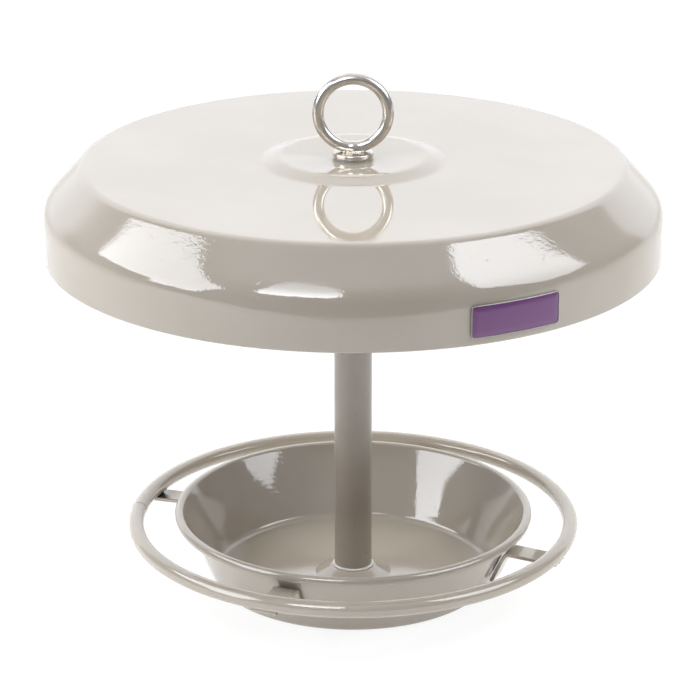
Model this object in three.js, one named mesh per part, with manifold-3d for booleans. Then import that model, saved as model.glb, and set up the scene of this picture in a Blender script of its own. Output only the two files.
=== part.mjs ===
// A hanging bird feeder: a pressed steel roof clamped on top of a round post, and a seed bowl bolted
// under it, with a rod perch carried round the bowl on four bent strips. The eye bolt on top clamps the
// roof and takes the hook that the feeder hangs from.
// Millimetres, +Z up. The origin is the centre of the bowl's underside, on which the feeder also stands.
// The front is -Y, and angles are counted from +X towards +Y.

import * as THREE from 'three';
import { mergeVertices } from 'three/addons/utils/BufferGeometryUtils.js';
import Module from 'manifold-3d';

const wasm = await Module();
wasm.setup();

// Sheet and clearances
const sheet = 1; // steel of the roof and the bowl
const seatGap = 0.1; // enamel between flat faces that are clamped or welded together
const slipGap = 0.3; // round a shank in its hole or a plug in its tube, and along a curved wall

// Roof
const roofDiameter = 320;
const plateDiameter = 280; // corner between the flat top and the shoulder
const shoulderDrop = 21.3;
const skirtHeight = 26.5;
const plateRound = 6;
const skirtRound = 16;
const hemHeight = 5; // sheet folded back inside the lip
const bossDiameter = 95; // foot of the boss pressed up round the roof's centre
const bossFlank = 9.1; // its slope, from crown to foot
const bossRise = 2.8;
const bossRound = 12;
const seatDip = 1.6; // the eye bolt's seat lies this far below the boss's crown
const seatMargin = 2; // flat seat left round the collar and the post

// Badge on the skirt
const badgeWidth = 49;
const badgeHeight = 16.5;
const badgeThickness = 1;
const badgeRound = 2;
const badgeRise = 12; // from the lip to its middle
const badgeAngle = -61; // degrees

// Eye bolt and its sealing washer
const eyeRod = 6;
const eyeBore = 30; // inside the ring
const eyeSink = 0.7; // how deep the ring lies in the collar's saddle, where it is welded
const collarDiameter = 21;
const collarThickness = 2.5;
const collarRound = 0.7;
const sealInset = 1; // from the collar's edge
const sealThickness = 0.6;

// Post
const postDiameter = 20;
const postWall = 1.5;
const postLength = 226;
const plugLength = 16;
const threadDiameter = 8;
const threadGrip = 13; // shank inside a plug

// Bowl
const bowlDiameter = 191.4; // over the rolled rim
const bowlHeight = 39.2;
const bowlBaseDiameter = 149.4; // corner between the underside and the wall
const bowlBaseRound = 5;
const rimDiameter = 5; // of the roll
const neckRise = 4.2; // recess under the neck, for the bolt's head
const neckFlare = 8.4; // the neck's slope, from top to foot
const neckMargin = 0.6; // flat neck left round the washers
const neckRound = 2;

// Foot of the post
const footWasherLip = 1; // beyond the post
const footWasherThickness = 1;
const boltHeadDiameter = 17;
const boltHeadThickness = 2.3;
const boltSocket = 5; // across the flats
const boltSocketDepth = 1.6;
const baseWasherThickness = 1.2;
const chamfer = 0.8; // at the tip of a shank and the edge of a bolt head

// Perch
const perchGap = 16.4; // open space between the bowl's rim and the hoop
const hoopRod = 8.4;
const hoopDrop = 4.7; // from the middle of the rim's roll to the middle of the rod
const bracketCount = 4;
const bracketAngle = 67.5; // of the first one, degrees
const stripWidth = 13;
const stripThickness = 2;
const stripBend = 3; // inside radius
const legLength = 17; // from the bend's corner down the wall
const tabOverhang = 1; // beyond the middle of the rod

// Facets
const sides = 48; // of the roof, the bowl and the hoop
const smallSides = 32; // of the post, its washers and bolts, and the eye
const rodSides = 12;
const arcStep = THREE.MathUtils.degToRad(30); // largest turn from point to point on a round

// Heights of the stack, from the table up
const neckTop = neckRise + sheet;
const postFoot = neckTop + seatGap + footWasherThickness + seatGap;
const postHead = postFoot + postLength;
const roofSeat = postHead + seatGap + sheet;
const sealFoot = roofSeat + seatGap;
const collarFoot = sealFoot + sealThickness + seatGap;
const eyeRadius = (eyeBore + eyeRod) / 2;
const eyeHeight = collarThickness - eyeSink + eyeBore / 2 + eyeRod; // ring's centre above the collar's foot

// Round fits that several pieces share
const shankHole = threadDiameter / 2 + slipGap;
const plugRadius = postDiameter / 2 - postWall - slipGap;
const footWasherRadius = postDiameter / 2 + footWasherLip;
const seatRadius = Math.max(collarDiameter, postDiameter) / 2 + seatMargin;
const neckRadius = Math.max(footWasherRadius, boltHeadDiameter / 2) + neckMargin;

// Bowl wall: it leans so that the rim's roll ends flush with the wall's inner face
const rim = new THREE.Vector2((bowlDiameter - rimDiameter) / 2, bowlHeight - rimDiameter / 2);
const baseCorner = new THREE.Vector2(bowlBaseDiameter / 2, 0);
const baseToRim = rim.clone().sub(baseCorner);
const rimToWall = rimDiameter / 2 - sheet; // from the roll's middle to the wall's outer face
const wallLean = Math.acos(rimToWall / baseToRim.length()) - baseToRim.angle();
const wallUp = new THREE.Vector2(Math.sin(wallLean), Math.cos(wallLean));
const wallOut = new THREE.Vector2(Math.cos(wallLean), -Math.sin(wallLean));

// Perch: the hoop's place round the rim, and the middle of the tabs under it
const hoopRadius = bowlDiameter / 2 + perchGap + hoopRod / 2;
const hoopHeight = rim.y - hoopDrop;
const tabHeight = hoopHeight - hoopRod / 2 - seatGap - stripThickness / 2;

// Outlines are lists of corners { r, z, round }, where r and z are across and up.

// The same corners moved sideways, to the left of travel where shift is positive.
function shifted(corners, shift) {
  const lefts = corners.slice(1).map((end, i) => {
    const start = corners[i];
    return new THREE.Vector2(start.z - end.z, end.r - start.r).normalize();
  });
  return corners.map(({ r, z, round = 0 }, i) => {
    const before = lefts[Math.max(i - 1, 0)];
    const after = lefts[Math.min(i, lefts.length - 1)];
    const reach = shift / (1 + before.dot(after));
    const turn = Math.sign(before.cross(after));
    return {
      r: r + (before.x + after.x) * reach,
      z: z + (before.y + after.y) * reach,
      round: Math.max(0, round - turn * shift),
    };
  });
}

// The points of a closed outline, with an arc at each corner that has a round.
function rounded(corners) {
  const points = corners.map(({ r, z }) => new THREE.Vector2(r, z));
  return corners.flatMap(({ round = 0 }, i) => {
    const here = points[i];
    const back = points.at(i - 1).clone().sub(here);
    const ahead = points[(i + 1) % points.length].clone().sub(here);
    const bend = Math.PI - back.angleTo(ahead);
    const room = Math.min(back.length(), ahead.length()) / 2;
    const reach = Math.min(round * Math.tan(bend / 2), room);
    if (reach <= 0) return [here];
    back.normalize();
    ahead.normalize();
    const toCentre = reach / Math.sin(bend / 2);
    const centre = here.clone().addScaledVector(back.clone().add(ahead).normalize(), toCentre);
    const start = here.clone().addScaledVector(back, reach);
    const sweep = Math.sign(ahead.cross(back)) * bend;
    const steps = Math.ceil(bend / arcStep);
    return Array.from({ length: steps + 1 }, (_, k) => start.clone().rotateAround(centre, (sweep * k) / steps));
  });
}

// A body turned round the Z axis from the points of its outline.
function turned(points, count) {
  const upwards = THREE.ShapeUtils.area(points) > 0 ? points : [...points].reverse();
  const onAxis = upwards[0].x === 0;
  return new THREE.LatheGeometry(onAxis ? upwards : [...upwards, upwards[0]], count).rotateX(Math.PI / 2);
}

// A plain ring between two radii and two heights.
function collarBetween(inner, outer, low, high) {
  const corners = [{ r: inner, z: low }, { r: outer, z: low }, { r: outer, z: high }, { r: inner, z: high }];
  return turned(rounded(corners), smallSides);
}

// Solids for joining and cutting, and geometry back from them
function solid(geometry) {
  const plain = geometry.clone();
  plain.deleteAttribute('normal');
  plain.deleteAttribute('uv');
  const merged = mergeVertices(plain);
  const index = Array.from(merged.index.array);
  const whole = (a, b, c) => a !== b && b !== c && c !== a;
  const triangles = [];
  for (let i = 0; i < index.length; i += 3) {
    const triangle = index.slice(i, i + 3);
    if (whole(...triangle)) triangles.push(...triangle);
  }
  const vertProperties = merged.attributes.position.array;
  return new wasm.Manifold(new wasm.Mesh({ numProp: 3, vertProperties, triVerts: new Uint32Array(triangles) }));
}

function geometryOf(manifold) {
  const { vertProperties, triVerts } = manifold.getMesh();
  const geometry = new THREE.BufferGeometry();
  geometry.setAttribute('position', new THREE.BufferAttribute(vertProperties, 3));
  geometry.setIndex(new THREE.BufferAttribute(triVerts, 1));
  geometry.computeVertexNormals();
  return geometry;
}

// Finishes
const enamel = () => new THREE.MeshStandardMaterial({ color: 0xaba395, roughness: 0.2, metalness: 0 });
const satinEnamel = () => new THREE.MeshStandardMaterial({ color: 0x9c9487, roughness: 0.45, metalness: 0 });
const chrome = () => new THREE.MeshStandardMaterial({ color: 0xd9d9d9, roughness: 0.08, metalness: 1 });
const zinc = () => new THREE.MeshStandardMaterial({ color: 0xb4b4b0, roughness: 0.4, metalness: 1 });
const nylon = () => new THREE.MeshStandardMaterial({ color: 0xe9e7e2, roughness: 0.4, metalness: 0 });
const violet = () => new THREE.MeshStandardMaterial({ color: 0x6d4a86, roughness: 0.3, metalness: 0 });

function part(name, geometry, material) {
  const mesh = new THREE.Mesh(geometry, material);
  mesh.name = name;
  return mesh;
}

// Roof, with its seat's upper face at height 0
const crownHeight = seatDip;
const plateHeight = crownHeight - bossRise;
const skirtTop = plateHeight - shoulderDrop;
const lipHeight = skirtTop - skirtHeight;
const roofRadius = roofDiameter / 2;

function roofGeometry() {
  const upper = [
    { r: shankHole, z: 0 },
    { r: seatRadius, z: 0, round: bossRound },
    { r: bossDiameter / 2 - bossFlank, z: crownHeight, round: bossRound },
    { r: bossDiameter / 2, z: plateHeight, round: bossRound },
    { r: plateDiameter / 2, z: plateHeight, round: plateRound },
    { r: roofRadius, z: skirtTop, round: skirtRound },
    { r: roofRadius, z: lipHeight, round: sheet },
  ];
  const hem = [
    { r: roofRadius - 2 * sheet, z: lipHeight, round: sheet },
    { r: roofRadius - 2 * sheet, z: lipHeight + hemHeight },
    { r: roofRadius - sheet, z: lipHeight + hemHeight },
  ];
  const lower = shifted(upper, -sheet).slice(0, -1).reverse();
  return turned(rounded([...upper, ...hem, ...lower]), sides);
}

// Badge: a curved plate on the straight part of the skirt, with rounded corners
const badgeSteps = 12;

function badgeGeometry() {
  const inner = roofRadius + seatGap;
  const outer = inner + badgeThickness;
  const halfAngle = badgeWidth / outer; // wider than the badge, which the prism trims
  const band = new THREE.Shape();
  band.absarc(0, 0, inner, -halfAngle, halfAngle, false);
  band.absarc(0, 0, outer, halfAngle, -halfAngle, true);
  const bend = new THREE.ExtrudeGeometry(band, {
    depth: 2 * badgeHeight,
    bevelEnabled: false,
    curveSegments: 2 * badgeSteps,
  });
  bend.translate(0, 0, -badgeHeight);

  const across = badgeWidth / 2;
  const up = badgeHeight / 2;
  const face = [[-across, -up], [across, -up], [across, up], [-across, up]];
  const outline = new THREE.Shape(rounded(face.map(([r, z]) => ({ r, z, round: badgeRound }))));
  const prism = new THREE.ExtrudeGeometry(outline, { depth: 2 * roofRadius, bevelEnabled: false });
  const toSkirt = new THREE.Matrix4().makeBasis(
    new THREE.Vector3(0, 1, 0),
    new THREE.Vector3(0, 0, 1),
    new THREE.Vector3(1, 0, 0),
  );
  return geometryOf(solid(bend).intersect(solid(prism.applyMatrix4(toSkirt))));
}

const roofGroup = new THREE.Group();
roofGroup.position.z = roofSeat;
const badge = part('badge', badgeGeometry(), violet());
badge.position.z = lipHeight + badgeRise;
badge.rotation.z = THREE.MathUtils.degToRad(badgeAngle);
roofGroup.add(part('roof', roofGeometry(), enamel()), badge);

// Eye bolt, with its collar's foot at height 0
function eyeRingGeometry(rod) {
  const ring = new THREE.TorusGeometry(eyeRadius, rod / 2, rodSides, smallSides);
  return ring.rotateX(Math.PI / 2).translate(0, 0, eyeHeight);
}

function eyeBoltGeometry() {
  const shank = threadDiameter / 2;
  const tip = -(seatGap + sealThickness + seatGap + sheet + seatGap + threadGrip);
  const body = turned(rounded([
    { r: 0, z: tip },
    { r: shank - chamfer, z: tip },
    { r: shank, z: tip + chamfer },
    { r: shank, z: 0 },
    { r: collarDiameter / 2, z: 0, round: collarRound },
    { r: collarDiameter / 2, z: collarThickness, round: collarRound },
    { r: 0, z: collarThickness },
  ]), smallSides);
  const saddle = eyeRingGeometry(eyeRod + 2 * slipGap);
  return geometryOf(solid(body).subtract(solid(saddle)));
}

const eyeGroup = new THREE.Group();
eyeGroup.position.z = collarFoot;
eyeGroup.add(part('eye_ring', eyeRingGeometry(eyeRod), chrome()), part('eye_bolt', eyeBoltGeometry(), chrome()));

const eyeSeal = part('eye_seal', collarBetween(shankHole, collarDiameter / 2 - sealInset, 0, sealThickness), nylon());
eyeSeal.position.z = sealFoot;

// Post, with its lower end at height 0
const postGroup = new THREE.Group();
postGroup.position.z = postFoot;
const postBore = postDiameter / 2 - postWall;
const postTube = part('post_tube', collarBetween(postBore, postDiameter / 2, 0, postLength), satinEnamel());
const bottomPlug = part('post_bottom_plug', collarBetween(shankHole, plugRadius, 0, plugLength), zinc());
const topPlug = part('post_top_plug', collarBetween(shankHole, plugRadius, 0, plugLength), zinc());
topPlug.position.z = postLength - plugLength;
postGroup.add(postTube, bottomPlug, topPlug);

// Bowl: its outer face from the hole in the neck to the rim, a roll, and its inner face back again
function bowlGeometry() {
  const toWall = Math.acos(rimToWall / (rimDiameter / 2));
  const rollStart = Math.PI - wallLean;
  const rollEnd = toWall - Math.PI - wallLean;
  const rollSteps = Math.ceil((rollStart - rollEnd) / arcStep);
  const roll = Array.from({ length: rollSteps + 1 }, (_, k) => {
    const angle = rollEnd + ((rollStart - rollEnd) * k) / rollSteps;
    return {
      r: rim.x + (rimDiameter / 2) * Math.cos(angle),
      z: rim.y + (rimDiameter / 2) * Math.sin(angle),
    };
  });
  const outer = [
    { r: shankHole, z: neckRise },
    { r: neckRadius, z: neckRise, round: neckRound },
    { r: neckRadius + neckFlare, z: 0, round: neckRound },
    { r: baseCorner.x, z: baseCorner.y, round: bowlBaseRound },
    roll[0],
  ];
  const inner = shifted(outer, sheet).slice(0, -1).reverse();
  return turned(rounded([...outer, ...roll.slice(1), ...inner]), sides);
}

// Foot of the post: a washer over the neck, and a bolt with its own washer from below
const footWasher = part(
  'foot_washer',
  collarBetween(shankHole, footWasherRadius, 0, footWasherThickness),
  nylon(),
);
footWasher.position.z = neckTop + seatGap;

const baseWasherTop = neckRise - seatGap;
const boltHeadTop = baseWasherTop - baseWasherThickness - seatGap;
const baseWasher = part(
  'base_washer',
  collarBetween(shankHole, boltHeadDiameter / 2, baseWasherTop - baseWasherThickness, baseWasherTop),
  zinc(),
);

function baseBoltGeometry() {
  const shank = threadDiameter / 2;
  const head = boltHeadDiameter / 2;
  const headFoot = boltHeadTop - boltHeadThickness;
  const tip = postFoot + threadGrip;
  const body = turned(rounded([
    { r: 0, z: headFoot },
    { r: head - chamfer, z: headFoot },
    { r: head, z: headFoot + chamfer },
    { r: head, z: boltHeadTop },
    { r: shank, z: boltHeadTop },
    { r: shank, z: tip - chamfer },
    { r: shank - chamfer, z: tip },
    { r: 0, z: tip },
  ]), smallSides);
  const key = boltSocket / 2 / Math.cos(Math.PI / 6);
  const socket = new THREE.CylinderGeometry(key, key, 2 * boltSocketDepth, 6);
  socket.rotateX(Math.PI / 2).translate(0, 0, headFoot);
  return geometryOf(solid(body).subtract(solid(socket)));
}

// Perch: a hoop lying on the tabs of bent strips, whose legs run down the bowl's wall
const perchHoop = part(
  'perch_hoop',
  new THREE.TorusGeometry(hoopRadius, hoopRod / 2, rodSides, sides),
  enamel(),
);
perchHoop.position.z = hoopHeight;

function bracketGeometry() {
  const legLine = baseCorner.clone().addScaledVector(wallOut, slipGap + stripThickness / 2);
  const corner = legLine.clone().addScaledVector(wallUp, (tabHeight - legLine.y) / wallUp.y);
  const foot = corner.clone().addScaledVector(wallUp, -legLength);
  const middle = [
    { r: foot.x, z: foot.y },
    { r: corner.x, z: corner.y, round: stripBend + stripThickness / 2 },
    { r: hoopRadius + tabOverhang, z: tabHeight },
  ];
  const half = stripThickness / 2;
  const outline = new THREE.Shape(rounded([...shifted(middle, -half), ...shifted(middle, half).reverse()]));
  const strip = new THREE.ExtrudeGeometry(outline, { depth: stripWidth, bevelEnabled: false });
  return strip.translate(0, 0, -stripWidth / 2).rotateX(Math.PI / 2);
}

const brackets = Array.from({ length: bracketCount }, (_, i) => {
  const bracket = part(`perch_bracket_${i + 1}`, bracketGeometry(), enamel());
  bracket.rotation.z = THREE.MathUtils.degToRad(bracketAngle + (360 * i) / bracketCount);
  return bracket;
});

const feeder = new THREE.Group();
feeder.add(roofGroup, eyeSeal, eyeGroup, postGroup, footWasher);
feeder.add(part('bowl', bowlGeometry(), enamel()), baseWasher, part('base_bolt', baseBoltGeometry(), zinc()));
feeder.add(perchHoop, ...brackets);

export default feeder;
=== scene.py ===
"""Looks of the hanging bird feeder: smooth enamelled shells over its solids, a plated eye, welds,
finishes, a white studio and the camera. Shapes are worked out in millimetres and put into the
meshes in metres."""

import bpy
import numpy as np
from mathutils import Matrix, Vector


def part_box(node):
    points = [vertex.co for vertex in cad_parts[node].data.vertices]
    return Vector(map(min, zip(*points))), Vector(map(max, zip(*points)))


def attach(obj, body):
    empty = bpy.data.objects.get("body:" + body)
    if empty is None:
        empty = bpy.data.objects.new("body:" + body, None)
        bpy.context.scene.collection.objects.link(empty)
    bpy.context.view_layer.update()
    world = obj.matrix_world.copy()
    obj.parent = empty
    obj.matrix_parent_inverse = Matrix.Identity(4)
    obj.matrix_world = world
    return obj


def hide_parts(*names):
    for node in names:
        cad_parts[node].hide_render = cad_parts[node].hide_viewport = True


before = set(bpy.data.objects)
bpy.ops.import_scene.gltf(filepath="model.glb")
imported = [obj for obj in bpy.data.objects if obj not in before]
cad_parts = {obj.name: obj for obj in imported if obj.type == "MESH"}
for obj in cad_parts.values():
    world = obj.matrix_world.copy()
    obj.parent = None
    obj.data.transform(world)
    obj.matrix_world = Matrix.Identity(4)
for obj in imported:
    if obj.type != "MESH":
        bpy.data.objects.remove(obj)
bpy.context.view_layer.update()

MM = 0.001


def solid_box(node):
    """Lowest and highest corner of a solid, in millimetres."""
    return [np.array(corner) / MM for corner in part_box(node)]


# Sheet, clearances and edges, as in the solids
SHEET = 1.0
SEAT_GAP = 0.1
SLIP_GAP = 0.3
SHANK_RADIUS = 4.0
SHANK_HOLE = SHANK_RADIUS + SLIP_GAP
EDGE = 0.25  # a cut sheet edge under its enamel
SMALL_ROUND = 0.2  # on washers and fasteners
TURNED_COUNT = 96  # points round a small turned piece

# Roof
roof_low, roof_high = solid_box("roof")
seal_low, seal_high = solid_box("eye_seal")
ROOF_RADIUS = roof_high[0]
LIP_HEIGHT = roof_low[2]
SEAT_HEIGHT = seal_low[2] - SEAT_GAP
SEAT_RADIUS = 12.5
SEAT_DIP = 1.6
BOSS_RADIUS = 47.5
BOSS_FLANK = 9.1
BOSS_RISE = 2.8
BOSS_ROUND = 12.0
PLATE_RADIUS = 140.0
PLATE_ROUND = 6.0
SHOULDER_DROP = 21.3
SKIRT_ROUND = 12.5  # at the tightest
HEM_HEIGHT = 5.0
HEM_FLAT = 0.05  # left between the two rounds of its fold
CROWN_HEIGHT = SEAT_HEIGHT + SEAT_DIP
PLATE_HEIGHT = CROWN_HEIGHT - BOSS_RISE
ROOF_COUNT = 320

# Badge
badge_low, badge_high = solid_box("badge")
BADGE_WIDTH = 49.0
BADGE_HEIGHT = badge_high[2] - badge_low[2]
BADGE_MIDDLE = (badge_high[2] + badge_low[2]) / 2
BADGE_ROUND = 2.0
BADGE_THICKNESS = 1.0
BADGE_TURN = np.radians(-61)
BADGE_BORDER = 0.5
BADGE_RECESS = 0.22
BADGE_FINE = 12  # parts of each side of its outline
BORDER_ROUND = 0.3
BORDER_INNER_ROUND = 0.15
FIELD_FOOT = 0.1  # its underside above the border's
FIELD_EDGE = 0.1
FIELD_DOME = 0.1  # its middle above its edge
FIELD_SWELL = 0.8  # share of the dome that is reached half way in

# Eye
ring_low, ring_high = solid_box("eye_ring")
bolt_low, bolt_high = solid_box("eye_bolt")
EYE_ROD = ring_high[1]
EYE_RADIUS = ring_high[0] - EYE_ROD
EYE_HEIGHT = (ring_low[2] + ring_high[2]) / 2
EYE_RIDGE = 0.25  # of the weld at its foot
EYE_RIDGE_WIDTH = 0.1  # as an angle
EYE_COUNT = 160
EYE_SECTION = 40
EYE_WELD_START = -5.5
EYE_WELD_END = 6.5
EYE_WELD_POINTS = 60
EYE_WELD_RADIUS = 0.95
EYE_WELD_SINK = 0.6  # below the collar's top, at most
EYE_WELD_RISE = 0.5  # above the ring's underside
EYE_WELD_SIDE = 2.2  # from the ring's middle plane
EYE_WELD_SPREAD = 0.012  # more of that, per square millimetre along the bead
EYE_WELD_SEEDS = (3, 8)
COLLAR_RADIUS = bolt_high[0]
COLLAR_TOP = bolt_high[2]
COLLAR_FOOT = seal_high[2] + SEAT_GAP
COLLAR_ROUND = 0.7
THREAD_PITCH = 1.25
THREAD_DEPTH = 0.65
THREAD_RUNOUT = 1.0  # plain shank under the collar
THREAD_ROWS = 190
THREAD_COUNT = 72
TIP_CHAMFER = 0.8

# Post and its foot
post_low, post_high = solid_box("post_tube")
foot_low, foot_high = solid_box("foot_washer")
base_washer_low, base_washer_high = solid_box("base_washer")
base_bolt_low, base_bolt_high = solid_box("base_bolt")
POST_WALL = 1.5
POST_ROUND = 0.4
FOOT_ROUND = 0.35
BOLT_HEAD_THICKNESS = 2.3
BOLT_SOCKET = 5.0
BOLT_SOCKET_DEPTH = 1.6
SOCKET_ROUND = 0.1
SOCKET_LEAD = 0.25  # depth of the chamfer at its mouth
SOCKET_FLARE = 0.2  # width of that chamfer
HEAD_FLAT = 0.8  # from the socket's side to the head's flat

# Bowl
bowl_high = solid_box("bowl")[1]
RIM_ROUND = 2.5
RIM_RADIUS = bowl_high[0] - RIM_ROUND
RIM_HEIGHT = bowl_high[2] - RIM_ROUND
ROLL_POINTS = 60
BASE_RADIUS = 74.7
BASE_ROUND = 5.0
BASE_CORNER = np.array([BASE_RADIUS, 0.0])
NECK_RISE = foot_low[2] - SEAT_GAP - SHEET
NECK_MARGIN = 0.6  # of its flat top round the foot washer
NECK_RADIUS = foot_high[0] + NECK_MARGIN
NECK_FLARE = 8.4
NECK_ROUND = 2.0
WALL_BOW = 0.7
BOWL_COUNT = 300

# Perch
hoop_low, hoop_high = solid_box("perch_hoop")
HOOP_ROD = (hoop_high[2] - hoop_low[2]) / 2
HOOP_RADIUS = hoop_high[0] - HOOP_ROD
HOOP_HEIGHT = (hoop_high[2] + hoop_low[2]) / 2
HOOP_COUNT = 420
HOOP_SECTION = 32
HOOP_SEAM = np.radians(174.5)
SEAM_REACH = 0.04  # half the angle in which the rings stand close
SEAM_COUNT = 100
SEAM_RIDGE = 0.12
SEAM_RIDGE_WIDTH = 1.6
SEAM_GROOVE = 0.4
SEAM_GROOVE_WIDTH = 0.3
STRIP_TURNS = np.radians(67.5 + 90 * np.arange(4))
STRIP_WIDTH = 13.0
STRIP_THICKNESS = 2.0
STRIP_BEND = 3.0
STRIP_EDGE = 0.45
STRIP_END_ROWS = 6
LEG_LENGTH = 17.0
TAB_OVERHANG = 1.0
TAB_FALL = 1.4  # from the bend out to the hoop
TAB_WELD_RADIUS = 0.8
TAB_WELD_SINK = 0.2  # below the hoop's underside
TAB_WELD_REACH = 0.4  # past the tab's end
TAB_WELD_POINTS = 40

# Welds
WELD_WAVES = 3
WELD_LUMPS = 2.0  # of the longest wave
WELD_SWELL = 0.13
WELD_SECTION = 16

# Outlines: rows of (across, up, round)


def shifted(corners, shift):
    """The corners of an open outline moved sideways, to the left of travel where shift is positive.
    Each moves along the mean of its two sides' normals, and its round grows or shrinks by the
    shift."""
    corners = np.array(corners, float)
    along = np.diff(corners[:, :2], axis=0)
    left = np.stack([-along[:, 1], along[:, 0]], 1) / np.linalg.norm(along, axis=1)[:, None]
    before = np.vstack([left[:1], left])
    after = np.vstack([left, left[-1:]])
    reach = shift / (1 + (before * after).sum(1))
    turn = np.sign(before[:, 0] * after[:, 1] - before[:, 1] * after[:, 0])
    moved = corners[:, :2] + (before + after) * reach[:, None]
    return np.column_stack([moved, np.maximum(0, corners[:, 2] - turn * shift)])


def rounded(corners, step=np.radians(5)):
    """Points of an outline in which each corner with a round is an arc of that radius, tangent to
    both of its sides, with a point at each step of angle."""
    corners = np.array(corners, float)
    points = corners[:, :2]
    toward_last = np.roll(points, 1, 0) - points
    toward_next = np.roll(points, -1, 0) - points
    arcs = []
    for here, last, ahead, radius in zip(points, toward_last, toward_next, corners[:, 2]):
        if radius == 0:
            arcs.append(here[None])
            continue
        last = last / np.linalg.norm(last)
        ahead = ahead / np.linalg.norm(ahead)
        bend = np.pi - np.arccos(np.clip(last @ ahead, -1, 1))
        middle = (last + ahead) / np.linalg.norm(last + ahead)
        centre = here + middle * radius / np.cos(bend / 2)
        arm = here + last * radius * np.tan(bend / 2) - centre
        side = np.sign(ahead[0] * last[1] - ahead[1] * last[0])
        turn = side * np.linspace(0, bend, int(np.ceil(bend / step)) + 1)
        x = arm[0] * np.cos(turn) - arm[1] * np.sin(turn)
        y = arm[0] * np.sin(turn) + arm[1] * np.cos(turn)
        arcs.append(centre + np.column_stack([x, y]))
    return np.concatenate(arcs)


def pressed_bend(before, corner, after, radius, reach=3.0, count=25):
    """A sheet's bend at a corner between two straights. Its curvature is 1 / radius in the middle
    and falls off as 1 / cosh^2 of the way over a width of half the turn times the radius. So its
    direction is a tanh of the way, and its points are the running sum of the direction. The two
    end tangents meet at the corner."""
    first = (corner - before) / np.linalg.norm(corner - before)
    last = (after - corner) / np.linalg.norm(after - corner)
    turn = np.arctan2(first[0] * last[1] - first[1] * last[0], first @ last)
    way = np.linspace(-reach, reach, count)
    direction = np.arctan2(first[1], first[0]) + turn / 2 * (1 + np.tanh(way) / np.tanh(reach))
    heading = np.column_stack([np.cos(direction), np.sin(direction)])
    step = abs(turn) * radius / 2 * (way[1] - way[0])
    moves = (heading[1:] + heading[:-1]) / 2 * step
    points = np.vstack([np.zeros((1, 2)), np.cumsum(moves, axis=0)])
    tangent = np.linalg.norm(points[-1]) / np.linalg.norm(first + last)
    return corner - tangent * first + points


def parallel(points, shift):
    """A smooth line moved sideways, to the left of travel where shift is positive."""
    along = np.gradient(points, axis=0)
    along /= np.linalg.norm(along, axis=1)[:, None]
    return points + shift * np.column_stack([-along[:, 1], along[:, 0]])


def plain(points):
    """Points as outline rows without a round."""
    return np.column_stack([points, np.zeros(len(points))])


def bowed(start, end, bow, first=0.15, last=0.95, count=12):
    """Points of a straight bowed to the left of travel, by bow times 4 t (1 - t) where t is the
    share of the way. They run from the first share to the last."""
    share = np.linspace(first, last, count)[:, None]
    along = end - start
    left = np.array([-along[1], along[0]]) / np.linalg.norm(along)
    return start + share * along + 4 * bow * share * (1 - share) * left


def supported(points, ring=True, margin=0.4):
    """The same outline with one more point near each end of a long straight, at the margin from
    it, which keeps smooth shading flat."""
    ends = np.roll(points, -1, 0) if ring else points[1:]
    starts = points if ring else points[:-1]
    along = ends - starts
    length = np.linalg.norm(along, axis=1)[:, None]
    gap = along * margin / np.maximum(length, margin)
    stops = np.stack([starts, starts + gap, ends - gap], 1)
    long = length > 4 * margin
    kept = stops[np.hstack([np.full_like(long, True), long, long])]
    return kept if ring else np.vstack([kept, points[-1:]])


# Surfaces: grids of points, and the closed shells over them


def around(count):
    """The angles of a full turn, in equal steps from 0."""
    return 2 * np.pi * np.arange(count) / count


def turned(outline, count=TURNED_COUNT):
    """A surface of revolution: row i, column j is (r cos a, r sin a, z) with (r, z) from the
    outline's point i and a from the full turn's angle j."""
    angle = around(count)
    across, up = outline[:, :1], outline[:, 1:]
    return np.stack([across * np.cos(angle), across * np.sin(angle), up + 0 * angle], -1)


def swept(path, across, up, section):
    """A section carried along a path: row i, column j is path i + section x times across i +
    section y times up i. The section is one (columns, 2) array, or one for each row."""
    section = np.broadcast_to(section, (len(path), *section.shape[-2:]))
    return path[:, None] + section[..., :1] * across[:, None] + section[..., 1:] * up[:, None]


def round_section(count):
    """A circle of radius 1."""
    angle = around(count)
    return np.column_stack([np.cos(angle), np.sin(angle)])


def rectangle_section(half_width, half_height, edge, inset, arc_points=7):
    """Rectangles with rounded corners, one for each inset, by which all sides and the corner radius
    are drawn in. A point is its corner's centre plus a quarter circle. At an inset of the half
    height only a line is left."""
    inset = np.asarray(inset, float)[:, None]
    quarter = np.repeat(np.arange(4), arc_points)
    angle = np.pi / 2 * (quarter + np.tile(np.linspace(0, 1, arc_points), 4))
    side = np.sign(np.cos(np.pi / 4 + np.pi / 2 * quarter))
    top = np.sign(np.sin(np.pi / 4 + np.pi / 2 * quarter))
    radius = np.maximum(edge - inset, 0)
    x = side * (half_width - inset - radius) + radius * np.cos(angle)
    y = top * (half_height - inset - radius) + radius * np.sin(angle)
    return np.stack([x, y], -1)


def finer(section, times):
    """The same closed sections with each side cut into this many equal parts."""
    share = np.linspace(0, 1, times, endpoint=False)[:, None]
    start, end = section[..., None, :], np.roll(section, -1, -2)[..., None, :]
    return (start + share * (end - start)).reshape(*section.shape[:-2], -1, 2)


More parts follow.
